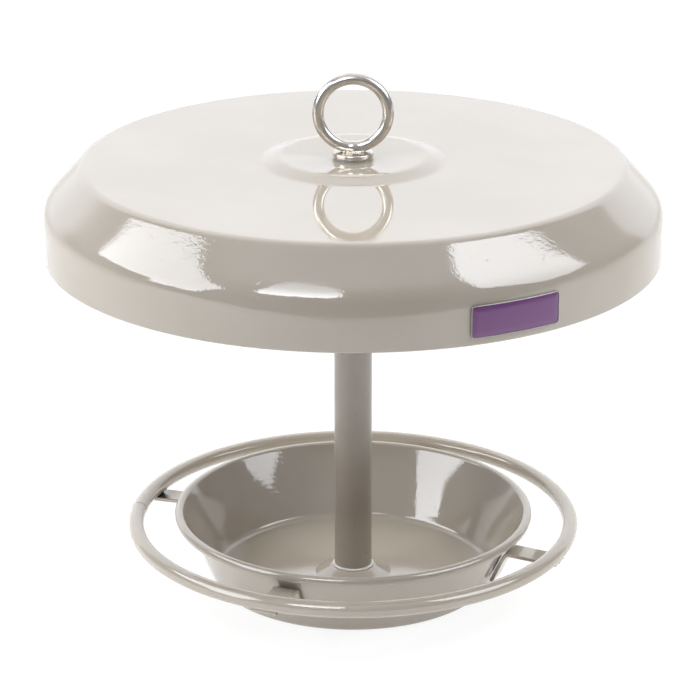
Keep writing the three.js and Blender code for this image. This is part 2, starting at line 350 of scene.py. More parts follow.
def shell(grid, ring=False, digits=5):
    """Points, quads and triangles of the closed surface over a grid. Columns run round and meet.
    Rows meet too in a ring; otherwise the first and last rows have shrunk to a point or a line.
    Points that coincide when rounded become one."""
    rows, columns = grid.shape[:2]
    index = np.arange(rows * columns).reshape(rows, columns)
    below = index if ring else index[:-1]
    above = np.roll(index, -1, 0) if ring else index[1:]
    corners = [below, np.roll(below, -1, 1), np.roll(above, -1, 1), above]
    quads = np.stack(corners, -1).reshape(-1, 4)
    rounded_grid = np.round(grid.reshape(-1, 3), digits)
    points, back = np.unique(rounded_grid, axis=0, return_inverse=True)
    quads = back.reshape(-1)[quads]
    same = quads == np.roll(quads, -1, 1)
    crossed = (quads[:, 0] == quads[:, 2]) | (quads[:, 1] == quads[:, 3])
    whole = quads[~same.any(1) & ~crossed]
    narrow = (same.sum(1) == 1) & ~crossed
    triangles = np.concatenate([np.delete(quads[narrow & same[:, k]], k, 1) for k in range(4)])
    halves = np.concatenate([whole[:, [0, 1, 2]], whole[:, [0, 2, 3]], triangles])
    a, b, c = np.moveaxis(points[halves], 1, 0)
    if np.einsum("ij,ij->", a, np.cross(b, c)) < 0:
        whole, triangles = whole[:, ::-1], triangles[:, ::-1]
    return points, whole, triangles


def add_piece(name, shells, finish, body, slot, *nodes):
    """One mesh object of one or more closed shells, which rides on a body and stands for the
    solids that it replaces."""
    points, faces, count = [], [], 0
    for shell_points, quads, triangles in shells:
        points.append(shell_points * MM)
        faces += (quads + count).tolist() + (triangles + count).tolist()
        count += len(shell_points)
    mesh = bpy.data.meshes.new(name)
    mesh.from_pydata(np.concatenate(points).tolist(), [], faces)
    mesh.shade_smooth()
    mesh.materials.append(finish)
    piece = bpy.data.objects.new(name, mesh)
    bpy.context.scene.collection.objects.link(piece)
    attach(piece, body)
    if nodes:
        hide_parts(*nodes)


def weld_bead(path, radius, seed):
    """A weld bead along a path: a round section whose radius swells by a few sine waves of the way
    along, and falls to nothing over the first and last quarter, as the root of the way left."""
    share = np.linspace(0, 1, len(path))
    phase = np.random.default_rng(seed).uniform(0, 2 * np.pi, WELD_WAVES)
    waves = np.arange(1, WELD_WAVES + 1)[:, None] * WELD_LUMPS
    swell = 1 + WELD_SWELL * np.sin(2 * np.pi * waves * share + phase[:, None]).sum(0)
    taper = np.sqrt(np.clip(4 * share, 0, 1) * np.clip(4 * (1 - share), 0, 1))
    along = np.gradient(path, axis=0)
    along /= np.linalg.norm(along, axis=1)[:, None]
    across = np.cross(along, [0.0, 0.0, 1.0])
    across /= np.linalg.norm(across, axis=1)[:, None]
    section = (radius * swell * taper)[:, None, None] * round_section(WELD_SECTION)
    return shell(swept(path, across, np.cross(across, along), section))


def turn_about_post(points, angle):
    """Points turned round the Z axis."""
    c, s = np.cos(angle), np.sin(angle)
    return points @ np.array([[c, s, 0], [-s, c, 0], [0, 0, 1]])


# Shader values and node trees


class Value:
    """One output socket of a shader node. Arithmetic on it adds Math nodes to its tree."""

    def __init__(self, nodes, socket):
        self.nodes = nodes
        self.socket = socket

    def math(self, operation, first, second):
        return self.nodes.node("ShaderNodeMath", {"operation": operation}, {0: first, 1: second})

    def __add__(self, other):
        return self.math("ADD", self, other)

    __radd__ = __add__

    def __sub__(self, other):
        return self.math("SUBTRACT", self, other)

    def __rsub__(self, other):
        return self.math("SUBTRACT", other, self)

    def __mul__(self, other):
        return self.math("MULTIPLY", self, other)

    __rmul__ = __mul__


class Nodes:
    """A node tree that is filled node by node."""

    def __init__(self, tree):
        self.tree = tree
        tree.nodes.clear()

    def node(self, kind, settings, sockets, output=None):
        """Adds a node: first its settings, then the values or links of its sockets, by name or
        number. Gives its first enabled output, or the one with this name."""
        made = self.tree.nodes.new(kind)
        for name, value in settings.items():
            setattr(made, name, value)
        for name, value in sockets.items():
            socket = made.inputs[name] if isinstance(name, int) else self.pick(made.inputs, name)
            if isinstance(value, Value):
                self.tree.links.new(value.socket, socket)
            else:
                socket.default_value = value
        return Value(self, self.pick(made.outputs, output)) if made.outputs else None

    @staticmethod
    def pick(sockets, name):
        return next(s for s in sockets if s.enabled and name in (None, s.name))

    def place(self):
        return self.node("ShaderNodeTexCoord", {}, {}, "Object")

    def axis(self, vector, name):
        """One coordinate of a vector: X, Y or Z."""
        return self.node("ShaderNodeSeparateXYZ", {}, {"Vector": vector}, name)

    def length(self, vector):
        settings = {"operation": "LENGTH"}
        return self.node("ShaderNodeVectorMath", settings, {0: vector}, "Value")

    def noise(self, place, size, detail=2.0):
        """Noise whose blotches are about this size, in millimetres."""
        sockets = {"Vector": place, "Scale": 1 / (size * MM), "Detail": detail}
        return self.node("ShaderNodeTexNoise", {}, sockets)

    def ramp(self, value, low, high, to_low=0.0, to_high=1.0):
        """A smooth step from to_low at low to to_high at high."""
        sockets = {"Value": value, "From Min": low, "From Max": high,
                   "To Min": to_low, "To Max": to_high}
        return self.node("ShaderNodeMapRange", {"interpolation_type": "SMOOTHSTEP"}, sockets)

    def mix(self, share, first, second):
        """A colour between two colours."""
        sockets = {"Factor": share, "A": first, "B": second}
        return self.node("ShaderNodeMix", {"data_type": "RGBA"}, sockets)

    def bump(self, height, depth):
        """Surface normals of a height field, whose full range is this deep, in millimetres."""
        sockets = {"Strength": 1.0, "Distance": depth * MM, "Height": height}
        return self.node("ShaderNodeBump", {}, sockets)

    def surface(self, **sockets):
        """The principled shader, with its sockets written as words joined by underscores, and the
        output."""
        named = {name.replace("_", " "): value for name, value in sockets.items()}
        shader = self.node("ShaderNodeBsdfPrincipled", {}, named)
        self.node("ShaderNodeOutputMaterial", {}, {"Surface": shader})


def colour(red, green, blue):
    """A display colour of 0 to 255 as the linear colour that shaders take."""
    share = np.array([red, green, blue]) / 255
    linear = np.where(share <= 0.04045, share / 12.92, ((share + 0.055) / 1.055) ** 2.4)
    return (*linear.tolist(), 1.0)


def new_finish(name):
    """A new material and its empty node tree."""
    material = bpy.data.materials.new(name)
    material.use_nodes = True
    return material, Nodes(material.node_tree)


# Colours of the finishes
ENAMEL = colour(174, 165, 152)
ENAMEL_DEEP = colour(169, 160, 146)
BOWL_TONE = colour(172, 164, 153)
BOWL_TONE_DEEP = colour(166, 158, 146)
PRIMER = colour(78, 74, 68)
POST_TONE = colour(145, 136, 124)
POST_TONE_DEEP = colour(140, 131, 119)
POST_SPECK = colour(112, 104, 93)
PLATING = colour(208, 202, 193)
PLATING_HAZY = colour(192, 185, 175)
ZINC = colour(200, 200, 198)
ZINC_DULL = colour(168, 168, 164)
NYLON = colour(238, 236, 231)
NYLON_DEEP = colour(226, 223, 216)
# Violet of the badge's field at its foot and at its top: the paler foot is painted light
VIOLET_PAINTED_LIGHT_FOOT = colour(115, 67, 119)
VIOLET_PAINTED_LIGHT_TOP = colour(108, 61, 116)
VIOLET_FLAKE = colour(90, 47, 98)
SILVER = colour(176, 173, 169)
SILVER_WORN = colour(132, 128, 123)

# Gloss enamel: heights are shares of the peel's depth
ENAMEL_IOR = 1.8
PEEL_DEPTH = 0.045
PEEL_COARSE = 0.65
PEEL_FINE = 0.35
NIB_RISE = 0.6
CHIP_DROP = 3.5
CHIP_EDGE = 0.04
CHIP_ROUGHNESS = 0.4
CALM_PEEL = 0.12
CALM_INSIDE = 12  # the peel starts to grow this far within the calm radius
CALM_OUTSIDE = 4  # and is full this far outside it


def gloss_enamel(name, tone, deep_tone, chip_level, calm_radius):
    """Warm grey stoved enamel: faint clouds of tone, orange peel that is calmer within a radius
    round the post, dust nibs, and small chips down to the primer where the noise passes a level."""
    material, n = new_finish(name)
    place = n.place()
    clouds = n.ramp(n.noise(place, size=70), 0.3, 0.7)
    chips = n.ramp(n.noise(place, size=5.5, detail=3.0), chip_level, chip_level + CHIP_EDGE)
    paint = n.mix(chips, n.mix(clouds, tone, deep_tone), PRIMER)
    coarse = n.noise(place, size=1.9, detail=1.0)
    fine = n.noise(place, size=0.9, detail=0.0)
    peel = PEEL_COARSE * coarse + PEEL_FINE * fine
    nibs = n.ramp(n.noise(place, size=3.2, detail=0.0), 0.78, 0.86)
    smear = n.ramp(n.noise(place, size=26, detail=4.0), 0.35, 0.75, to_low=0.02, to_high=0.06)
    flat = n.node("ShaderNodeVectorMath", {"operation": "MULTIPLY"}, {0: place, 1: (1, 1, 0)})
    start, full = (calm_radius - CALM_INSIDE) * MM, (calm_radius + CALM_OUTSIDE) * MM
    calm = n.ramp(n.length(flat), start, full, to_low=CALM_PEEL)
    height = calm * peel + NIB_RISE * nibs - CHIP_DROP * chips
    n.surface(
        Base_Color=paint,
        Roughness=smear + CHIP_ROUGHNESS * chips,
        IOR=ENAMEL_IOR,
        Normal=n.bump(height, PEEL_DEPTH),
    )
    return material


def satin_enamel():
    """Warm grey satin paint on the post: fine sandy texture, small dark specks, and blotches that
    are glossier or duller."""
    material, n = new_finish("satin_enamel")
    place = n.place()
    blotches = n.ramp(n.noise(place, size=18, detail=3.0), 0.35, 0.7)
    grit = n.noise(place, size=0.8)
    specks = n.ramp(n.noise(place, size=1.6, detail=1.0), 0.72, 0.8)
    n.surface(
        Base_Color=n.mix(specks, n.mix(blotches, POST_TONE, POST_TONE_DEEP), POST_SPECK),
        Roughness=0.285 + 0.06 * blotches,
        IOR=1.9,
        Normal=n.bump(grit, depth=0.012),
    )
    return material


def bright_plate():
    """Polished plating: slight ripples from the rod beneath, faint haze, and a warm shade in
    patches."""
    material, n = new_finish("bright_plate")
    place = n.place()
    haze = n.ramp(n.noise(place, size=7, detail=3.0), 0.4, 0.75)
    n.surface(
        Base_Color=n.mix(haze, PLATING, PLATING_HAZY),
        Metallic=1.0,
        Roughness=0.19 + 0.07 * haze,
        Normal=n.bump(n.noise(place, size=3.5), depth=0.03),
    )
    return material


def zinc_steel():
    """Zinc plated steel: dull, with crystalline mottling and a fine grain."""
    material, n = new_finish("zinc_steel")
    place = n.place()
    mottle = n.noise(place, size=2.6, detail=3.0)
    n.surface(
        Base_Color=n.mix(mottle, ZINC, ZINC_DULL),
        Metallic=1.0,
        Roughness=0.28 + 0.2 * mottle,
        Normal=n.bump(n.noise(place, size=0.5, detail=1.0), depth=0.02),
    )
    return material


def pale_nylon():
    """Natural nylon: milky, slightly mottled and satin."""
    material, n = new_finish("pale_nylon")
    place = n.place()
    mottle = n.noise(place, size=4)
    n.surface(
        Base_Color=n.mix(mottle, NYLON, NYLON_DEEP),
        Roughness=0.3 + 0.15 * mottle,
        Subsurface_Weight=0.2,
        Subsurface_Scale=0.002,
        Normal=n.bump(n.noise(place, size=0.7, detail=1.0), depth=0.015),
    )
    return material


def violet_field():
    """Violet enamel in the badge: fine flake, with painted light: a little paler towards its lower
    edge and darker towards its top.
    """
    material, n = new_finish("violet_field")
    place = n.place()
    foot, top = BADGE_MIDDLE - BADGE_HEIGHT / 2, BADGE_MIDDLE + BADGE_HEIGHT / 2
    # Painted light: the field's violet darkens from its foot up to its top
    fade = n.ramp(n.axis(place, "Z"), foot * MM, top * MM)
    flake = n.noise(place, size=0.45, detail=1.0)
    n.surface(
        Base_Color=n.mix(0.35 * flake, n.mix(fade, VIOLET_PAINTED_LIGHT_FOOT, VIOLET_PAINTED_LIGHT_TOP), VIOLET_FLAKE),
        Roughness=0.16 + 0.14 * flake,
        Coat_Weight=0.25,
        Coat_Roughness=0.05,
        Normal=n.bump(n.noise(place, size=1.8, detail=1.0), depth=0.008),
    )
    return material


def silver_border():
    """Bright border of the badge: slightly worn, with a fine grain."""
    material, n = new_finish("silver_border")
    place = n.place()
    wear = n.noise(place, size=1.4, detail=3.0)
    n.surface(
        Base_Color=n.mix(wear, SILVER, SILVER_WORN),
        Metallic=1.0,
        Roughness=0.22 + 0.25 * wear,
        Normal=n.bump(n.noise(place, size=0.4, detail=1.0), depth=0.01),
    )
    return material


roof_enamel = gloss_enamel("roof_enamel", ENAMEL, ENAMEL_DEEP, 0.86, PLATE_RADIUS)
bowl_enamel = gloss_enamel("bowl_enamel", BOWL_TONE, BOWL_TONE_DEEP, 0.83, 0.0)
perch_enamel = gloss_enamel("perch_enamel", ENAMEL, ENAMEL_DEEP, 0.8, 0.0)
post_satin = satin_enamel()
plating = bright_plate()
zinc = zinc_steel()
nylon = pale_nylon()


# Pieces


def make_roof():
    """One sheet turned about the post: dished boss, flat plate, shoulder, skirt and a hem folded
    up inside."""
    crown = rounded([
        (SHANK_HOLE, SEAT_HEIGHT, 0),
        (SEAT_RADIUS, SEAT_HEIGHT, BOSS_ROUND),
        (BOSS_RADIUS - BOSS_FLANK, CROWN_HEIGHT, BOSS_ROUND),
        (BOSS_RADIUS, PLATE_HEIGHT, BOSS_ROUND),
        (PLATE_RADIUS, PLATE_HEIGHT, PLATE_ROUND),
        (ROOF_RADIUS, PLATE_HEIGHT - SHOULDER_DROP, 0),
    ])
    lip = np.array([ROOF_RADIUS, LIP_HEIGHT])
    face = np.vstack([crown[1:-1], pressed_bend(crown[-2], crown[-1], lip, SKIRT_ROUND)])
    outline = rounded(np.vstack([
        (SHANK_HOLE, SEAT_HEIGHT, EDGE),
        plain(face),
        (*lip, SHEET),
        (ROOF_RADIUS - 2 * SHEET, LIP_HEIGHT, SHEET - HEM_FLAT),
        (ROOF_RADIUS - 2 * SHEET, LIP_HEIGHT + HEM_HEIGHT, EDGE),
        (ROOF_RADIUS - SHEET, LIP_HEIGHT + HEM_HEIGHT, EDGE),
        plain(parallel(face, -SHEET)[::-1]),
        (SHANK_HOLE, SEAT_HEIGHT - SHEET, EDGE),
    ]))
    shells = [shell(turned(supported(outline), ROOF_COUNT), True)]
    add_piece("roof_shell", shells, roof_enamel, "feeder", "gloss_enamel", "roof")


def on_skirt(outline, height):
    """A flat outline (rows, columns, 2) wrapped on the skirt: its x becomes an angle, its y adds to
    the badge's middle, and the height of its row adds to the radius."""
    radius = ROOF_RADIUS + SEAT_GAP + height[:, None]
    angle = BADGE_TURN + outline[..., 0] / ROOF_RADIUS
    up = BADGE_MIDDLE + outline[..., 1]
    return np.stack([radius * np.cos(angle), radius * np.sin(angle), up], -1)


def make_badge():
    """A bright border and a violet field inside it, both carried round the same rounded rectangle:
    each row of their profiles is an inset from the edge and a height above the skirt."""
    half = (BADGE_WIDTH / 2, BADGE_HEIGHT / 2, BADGE_ROUND)
    border = rounded([
        (0, 0, EDGE),
        (0, BADGE_THICKNESS, BORDER_ROUND),
        (BADGE_BORDER, BADGE_THICKNESS, BORDER_INNER_ROUND),
        (BADGE_BORDER, 0, EDGE / 2),
    ])
    outline = finer(rectangle_section(*half, border[:, 0]), BADGE_FINE)
    shells = [shell(on_skirt(outline, border[:, 1]), True)]
    add_piece("badge_border", shells, silver_border(), "feeder", "violet_badge")

    middle = BADGE_HEIGHT / 2
    top = BADGE_THICKNESS - BADGE_RECESS
    inset, height = np.array([
        (middle, FIELD_FOOT),
        (middle / 2, FIELD_FOOT),
        (BADGE_BORDER + EDGE, FIELD_FOOT),
        (BADGE_BORDER, FIELD_FOOT + FIELD_EDGE),
        (BADGE_BORDER, top - FIELD_EDGE),
        (BADGE_BORDER + EDGE, top),
        (middle / 2, top + FIELD_SWELL * FIELD_DOME),
        (middle, top + FIELD_DOME),
    ]).T
    outline = finer(rectangle_section(*half, inset), BADGE_FINE)
    shells = [shell(on_skirt(outline, height))]
    add_piece("badge_field", shells, violet_field(), "feeder", "violet_badge", "badge")


def make_eye_ring():
    """A torus whose rod swells by a low weld ridge at its foot: rod radius + ridge times
    exp(-(angle / width)^2)."""
    angle = around(EYE_COUNT)
    outward = np.column_stack([np.sin(angle), 0 * angle, -np.cos(angle)])
    from_foot = np.minimum(angle, 2 * np.pi - angle)
    rod = EYE_ROD + EYE_RIDGE * np.exp(-((from_foot / EYE_RIDGE_WIDTH) ** 2))
    path = EYE_RADIUS * outward + [0, 0, EYE_HEIGHT]
    sideways = np.broadcast_to([0.0, 1.0, 0.0], path.shape)
    section = rod[:, None, None] * round_section(EYE_SECTION)
    shells = [shell(swept(path, outward, sideways, section), True)]
    add_piece("eye_loop", shells, plating, "eye", "bright_plate", "eye_ring")


def eye_weld(side, seed):
    """Weld bead where the ring meets the collar, on the ring's front or back. It follows the ring's
    underside, a circle, down to a little below the collar's top, and bends away from the ring as
    the square of the way along."""
    x = np.linspace(EYE_WELD_START, EYE_WELD_END, EYE_WELD_POINTS)
    underside = EYE_HEIGHT - np.sqrt((EYE_RADIUS + EYE_ROD) ** 2 - x ** 2)
    height = np.maximum(underside, COLLAR_TOP - EYE_WELD_SINK) + EYE_WELD_RISE
    y = side * (EYE_WELD_SIDE + EYE_WELD_SPREAD * x ** 2)
    return weld_bead(np.column_stack([x, y, height]), EYE_WELD_RADIUS, seed)


def make_eye_bolt():
    """A collar on a threaded shank, as one turned surface whose shank radius is the thread's: it
    falls from crest to root as a triangle wave of (height / pitch - angle / full turn), and fades
    out under the collar."""
    lowest = bolt_low[2]
    shank_top = COLLAR_FOOT - THREAD_RUNOUT
    collar = rounded([
        (SHANK_RADIUS, COLLAR_FOOT, SMALL_ROUND),
        (COLLAR_RADIUS, COLLAR_FOOT, COLLAR_ROUND),
        (COLLAR_RADIUS, COLLAR_TOP, COLLAR_ROUND),
        (0, COLLAR_TOP, 0),
    ])
    height = np.linspace(lowest + TIP_CHAMFER, shank_top, THREAD_ROWS)
    shank = np.column_stack([np.full_like(height, SHANK_RADIUS), height])
    tip = np.array([[0, lowest], [SHANK_RADIUS - TIP_CHAMFER, lowest]])
    outline = np.vstack([tip, shank, supported(collar, False)])
    up = outline[:, 1]
    grid = turned(outline, THREAD_COUNT)
    phase = (grid[..., 2] - lowest) / THREAD_PITCH - np.arange(THREAD_COUNT) / THREAD_COUNT
    wave = 2 * np.abs(phase - np.floor(phase) - 0.5)
    threaded = (up > lowest) & (up <= shank_top)
    fade = np.clip((shank_top - up) / THREAD_PITCH, 0, 1) * threaded
    shrink = 1 - THREAD_DEPTH * wave * fade[:, None] / SHANK_RADIUS
    grid[..., :2] *= shrink[..., None]
    front_seed, back_seed = EYE_WELD_SEEDS
    shells = [shell(grid), eye_weld(-1, front_seed), eye_weld(1, back_seed)]
    add_piece("eye_stud", shells, plating, "eye", "bright_plate", "eye_bolt")


def washer(low, high, inner, edge):
    """A flat ring turned from a rectangle with rounded corners."""
    outline = rounded([
        (inner, low[2], edge),
        (high[0], low[2], edge),
        (high[0], high[2], edge),
        (inner, high[2], edge),
    ])
    return shell(turned(supported(outline)), True)


def make_washers():
    """The seal under the eye's collar, the ring under the post and the one under the base bolt."""
    seal = washer(seal_low, seal_high, SHANK_HOLE, SMALL_ROUND)
    add_piece("seal_washer", [seal], nylon, "washer", "nylon", "eye_seal")
    foot = washer(foot_low, foot_high, SHANK_HOLE, FOOT_ROUND)
    add_piece("foot_ring", [foot], nylon, "feeder", "nylon", "foot_washer")
    base = washer(base_washer_low, base_washer_high, SHANK_HOLE, SMALL_ROUND)
    add_piece("base_ring", [base], zinc, "feeder", "zinc_steel", "base_washer")


def make_post():
    """A tube with deburred ends."""
    tube = washer(post_low, post_high, post_high[0] - POST_WALL, POST_ROUND)
    add_piece("post_sleeve", [tube], post_satin, "feeder", "satin_enamel", "post_tube")


def make_base_bolt():
    """A low head with a hexagon socket. Rows run from the socket's floor to the shank's tip. In the
    socket the radius is the hexagon's: half its width over the cosine of the angle from the
    nearest flat's middle."""
    foot, tip = base_bolt_low[2], base_bolt_high[2]
    head_radius = base_bolt_high[0]
    head_top = foot + BOLT_HEAD_THICKNESS
    floor = foot + BOLT_SOCKET_DEPTH
    half = BOLT_SOCKET / 2
    socket = np.array([
        (0, floor),
        (half - SOCKET_ROUND, floor),
        (half, floor - SOCKET_ROUND),
        (half, foot + SOCKET_LEAD),
        (half + SOCKET_FLARE, foot),
    ])
    outside = rounded([
        (half + HEAD_FLAT, foot, 0),
        (head_radius, foot, TIP_CHAMFER),
        (head_radius, head_top, SMALL_ROUND),
        (SHANK_RADIUS, head_top, SMALL_ROUND),
        (SHANK_RADIUS, tip, TIP_CHAMFER),
        (0, tip, 0),
    ])
    grid = turned(np.vstack([socket, supported(outside, False)]))
    from_flat = (around(TURNED_COUNT) + np.pi / 6) % (np.pi / 3) - np.pi / 6
    grid[:len(socket), :, :2] /= np.cos(from_flat)[:, None]
    add_piece("base_screw", [shell(grid)], zinc, "feeder", "zinc_steel", "base_bolt")


def wall_lean():
    """The angle from upright at which the bowl's wall stands. The rim's roll ends flush with the
    wall's inner face, so it is the angle whose cosine is the roll's offset over the distance from
    the base's corner to the roll's middle, less that middle's elevation."""
    to_rim = np.array([RIM_RADIUS, RIM_HEIGHT]) - BASE_CORNER
    offset = np.arccos((RIM_ROUND - SHEET) / np.linalg.norm(to_rim))
    return offset - np.arctan2(to_rim[1], to_rim[0])


def make_bowl():
    """One sheet turned about the post: neck, flat base, wall and a rolled rim, then its inner face
    back again. The roll is an arc from the wall's outer face over to its inner one."""
    lean = wall_lean()
    first = np.arccos((RIM_ROUND - SHEET) / RIM_ROUND) - np.pi - lean
    angle = np.linspace(first, np.pi - lean, ROLL_POINTS)
    roll = RIM_ROUND * np.column_stack([np.cos(angle), np.sin(angle)]) + [RIM_RADIUS, RIM_HEIGHT]
    outer = [
        (SHANK_HOLE, NECK_RISE, EDGE),
        (NECK_RADIUS, NECK_RISE, NECK_ROUND),
        (NECK_RADIUS + NECK_FLARE, 0, NECK_ROUND),
        (BASE_RADIUS, 0, BASE_ROUND),
        (*roll[0], 0),
    ]
    inner = shifted(outer, SHEET)[-2::-1]
    inner[-1, 2] = EDGE
    outer_wall = bowed(BASE_CORNER, roll[0], WALL_BOW)
    inner_wall = bowed(inner[0, :2], roll[-1], WALL_BOW)[::-1]
    walls = [plain(outer_wall), plain(roll), plain(inner_wall)]
    outline = supported(rounded(np.vstack([outer[:-1], *walls, inner])))
    shells = [shell(turned(outline, BOWL_COUNT), True)]
    add_piece("bowl_shell", shells, bowl_enamel, "feeder", "gloss_enamel", "bowl")


def make_hoop():
    """A torus with a butt weld where the rod's ends meet: its radius rises by a low ridge and dips
    by a fine groove, each its height times exp(-(way / width)^2)."""
    angle = HOOP_SEAM + np.concatenate([
        np.linspace(-SEAM_REACH, SEAM_REACH, SEAM_COUNT, endpoint=False),
        np.linspace(SEAM_REACH, 2 * np.pi - SEAM_REACH, HOOP_COUNT, endpoint=False),
    ])
    outward = np.column_stack([np.cos(angle), np.sin(angle), 0 * angle])
    way = HOOP_RADIUS * (angle - HOOP_SEAM)
    ridge = SEAM_RIDGE * np.exp(-((way / SEAM_RIDGE_WIDTH) ** 2))
    groove = SEAM_GROOVE * np.exp(-((way / SEAM_GROOVE_WIDTH) ** 2))
    rod = HOOP_ROD + ridge - groove
    path = HOOP_RADIUS * outward + [0, 0, HOOP_HEIGHT]
    upward = np.broadcast_to([0.0, 0.0, 1.0], path.shape)
    section = rod[:, None, None] * round_section(HOOP_SECTION)
    shells = [shell(swept(path, outward, upward, section), True)]
    add_piece("perch_ring", shells, perch_enamel, "feeder", "gloss_enamel", "perch_hoop")


def strip_path():
    """Middle line of a strip in the plane of the post: up along the wall, round the bend and out
    under the hoop."""
    lean = wall_lean()
    up = np.array([np.sin(lean), np.cos(lean)])
    out = np.array([np.cos(lean), -np.sin(lean)])
    tab_height = HOOP_HEIGHT - HOOP_ROD - SEAT_GAP - STRIP_THICKNESS / 2
    leg = BASE_CORNER + out * (SLIP_GAP + STRIP_THICKNESS / 2)
    bend = leg + up * (tab_height - leg[1]) / up[1]
    foot = bend - up * LEG_LENGTH
    end = (HOOP_RADIUS + TAB_OVERHANG, tab_height, 0)
    bend = bend + up * TAB_FALL
    return rounded([(*foot, 0), (*bend, STRIP_BEND + STRIP_THICKNESS / 2), end])


def make_strips():
    """A rounded bar section carried along the strip's middle line, drawn in at both ends by a
    quarter circle to close them, with a weld bead along the tab's outer end, under the hoop."""
    line = supported(strip_path(), False)
    ease = np.radians(np.linspace(90, 0, STRIP_END_ROWS))
    end_inset = np.concatenate([[STRIP_THICKNESS / 2], STRIP_EDGE * (1 - np.cos(ease))])
    end_shift = np.concatenate([[0], STRIP_EDGE * (1 - np.sin(ease))])
    along = np.gradient(line, axis=0)
    along /= np.linalg.norm(along, axis=1)[:, None]
    rows = len(end_inset)
    first = line[0] + end_shift[:, None] * along[0]
    last = line[-1] - end_shift[::-1, None] * along[-1]
    line = np.vstack([first, line[1:-1], last])
    ends = np.repeat(along[:1], rows, 0), np.repeat(along[-1:], rows, 0)
    along = np.vstack([ends[0], along[1:-1], ends[1]])
    inset = np.concatenate([end_inset, np.zeros(len(line) - 2 * rows), end_inset[::-1]])
    path = np.column_stack([line[:, 0], 0 * line[:, 0], line[:, 1]])
    across = np.broadcast_to([0.0, 1.0, 0.0], path.shape)
    outward = np.column_stack([along[:, 1], 0 * along[:, 0], -along[:, 0]])
    section = rectangle_section(STRIP_WIDTH / 2, STRIP_THICKNESS / 2, STRIP_EDGE, inset)
    points, *faces = shell(swept(path, across, outward, section))

    reach = np.linspace(-STRIP_WIDTH / 2, STRIP_WIDTH / 2, TAB_WELD_POINTS)
    radius = np.sqrt((HOOP_RADIUS + TAB_OVERHANG + TAB_WELD_REACH) ** 2 - reach ** 2)
    height = np.full_like(reach, HOOP_HEIGHT - HOOP_ROD - TAB_WELD_SINK)
    bead = np.column_stack([radius, reach, height])
    for number, turn in enumerate(STRIP_TURNS, 1):
        weld = weld_bead(turn_about_post(bead, turn), TAB_WELD_RADIUS, number)
        shells = [(turn_about_post(points, turn), *faces), weld]
        add_piece(f"perch_strip_{number}", shells, perch_enamel, "feeder", "gloss_enamel",
                  f"perch_bracket_{number}")


def dress_plugs():
    """The plugs inside the post keep their solids and get the zinc finish."""
    for node in ("post_top_plug", "post_bottom_plug"):
        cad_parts[node].data.materials.clear()
        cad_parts[node].data.materials.append(zinc)


make_roof()
make_badge()
make_eye_ring()
make_eye_bolt()
make_washers()
make_post()
make_base_bolt()
make_bowl()
make_hoop()
make_strips()
dress_plugs()


# Studio: the panels' azimuth is counted from behind the feeder towards the right, in degrees
STUDIO_MIDDLE = np.array([0, 0, 150.0])
PANEL_DISTANCE = 1300.0
PANEL_STEP = np.radians(8)
LEFT_PLACE = (-90, 38)
LEFT_LEVELS = (5.9, 4.8)
LEFT_CORNERS = [(-340, -330, 60), (380, -500, 60), (420, -760, 60), (1050, -760, 60),
                (900, 60, 160), (240, 330, 160), (-410, -80, 120)]
RIGHT_PLACE = (95, 45)
RIGHT_LEVELS = (3.8, 6.4)
RIGHT_CORNERS = [(-370, 440, 60), (-750, -110, 90), (-440, -690, 60), (-100, -690, 60),
                 (170, -480, 60), (210, -130, 60)]
FRONT_PLACE = (-157, 47)
FRONT_LEVELS = (9.0, 3.0)
FRONT_CORNERS = [(-300, -380, 180), (420, -380, 180), (200, 270, 180), (-150, 270, 150)]

# Colours and levels of the light
WHITE = (1, 1, 1, 1)
LAMP_COLOUR = (0.98, 1.0, 1.05, 1)
SWEEP_COLOUR = (0.955, 1.0, 1.08, 1)
AMBIENT_LOW = 0.0
AMBIENT_HIGH = 0.3
BACK_FILL = 2.8
BACK_LOW = 1.36
BACK_HIGH = 1.48
HORIZON = 0.33
AROUND = 0.45
CEILING = 1.0
FLOOR_NEAR = 0.42
FLOOR_FAR = 0.08
FLOOR_BACK = 0.2
FLOOR_SEEN = 0.85
PAPER = 0.74
PAPER_SEEN = 0.2

# Where the surround changes: azimuths in degrees, and heights as the sine of the elevation
SWEEP_LEFT = (-56, -42)
SWEEP_RIGHT = (49, 53)
SWEEP_TOP = (0.9, 0.97)
SWEEP_CLIMB = (0.02, 0.3)
HORIZON_TOP = (0.15, 0.4)
CEILING_START = (0.75, 0.93)
AMBIENT_CLIMB = (0.25, 0.55)

# The floor, in metres
FLOOR_REACH = 6.0
FLOOR_FRONT = -0.8
GLOW_AWAY = (0.3, 0.6)
GLOW_BEHIND = (0.1, 0.6)


def soft_panel(name, place, corners, levels):
    """A flat lit panel that faces the feeder from an azimuth and elevation. Its corners are (to the
    viewer's left when facing it from the feeder, up, round), in millimetres. Its light goes evenly
    from one level at its foot to another at its top."""
    a, e = np.radians(place)
    facing = np.array([np.sin(a) * np.cos(e), np.cos(a) * np.cos(e), np.sin(e)])
    across = np.array([-np.cos(a), np.sin(a), 0])
    left, up = rounded(corners, PANEL_STEP).T[..., None]
    middle = STUDIO_MIDDLE + PANEL_DISTANCE * facing
    points = middle + left * across + up * np.cross(facing, across)
    mesh = bpy.data.meshes.new(name)
    mesh.from_pydata((points * MM).tolist(), [], [list(range(len(points)))])
    material, n = new_finish(name)
    height = n.axis(n.place(), "Z")
    strength = n.ramp(height, points[:, 2].min() * MM, points[:, 2].max() * MM, *levels)
    glow = n.node("ShaderNodeEmission", {}, {"Color": LAMP_COLOUR, "Strength": strength})
    n.node("ShaderNodeOutputMaterial", {}, {"Surface": glow})
    mesh.materials.append(material)
    panel = bpy.data.objects.new(name, mesh)
    panel.visible_camera = False
    bpy.context.scene.collection.objects.link(panel)
    return panel


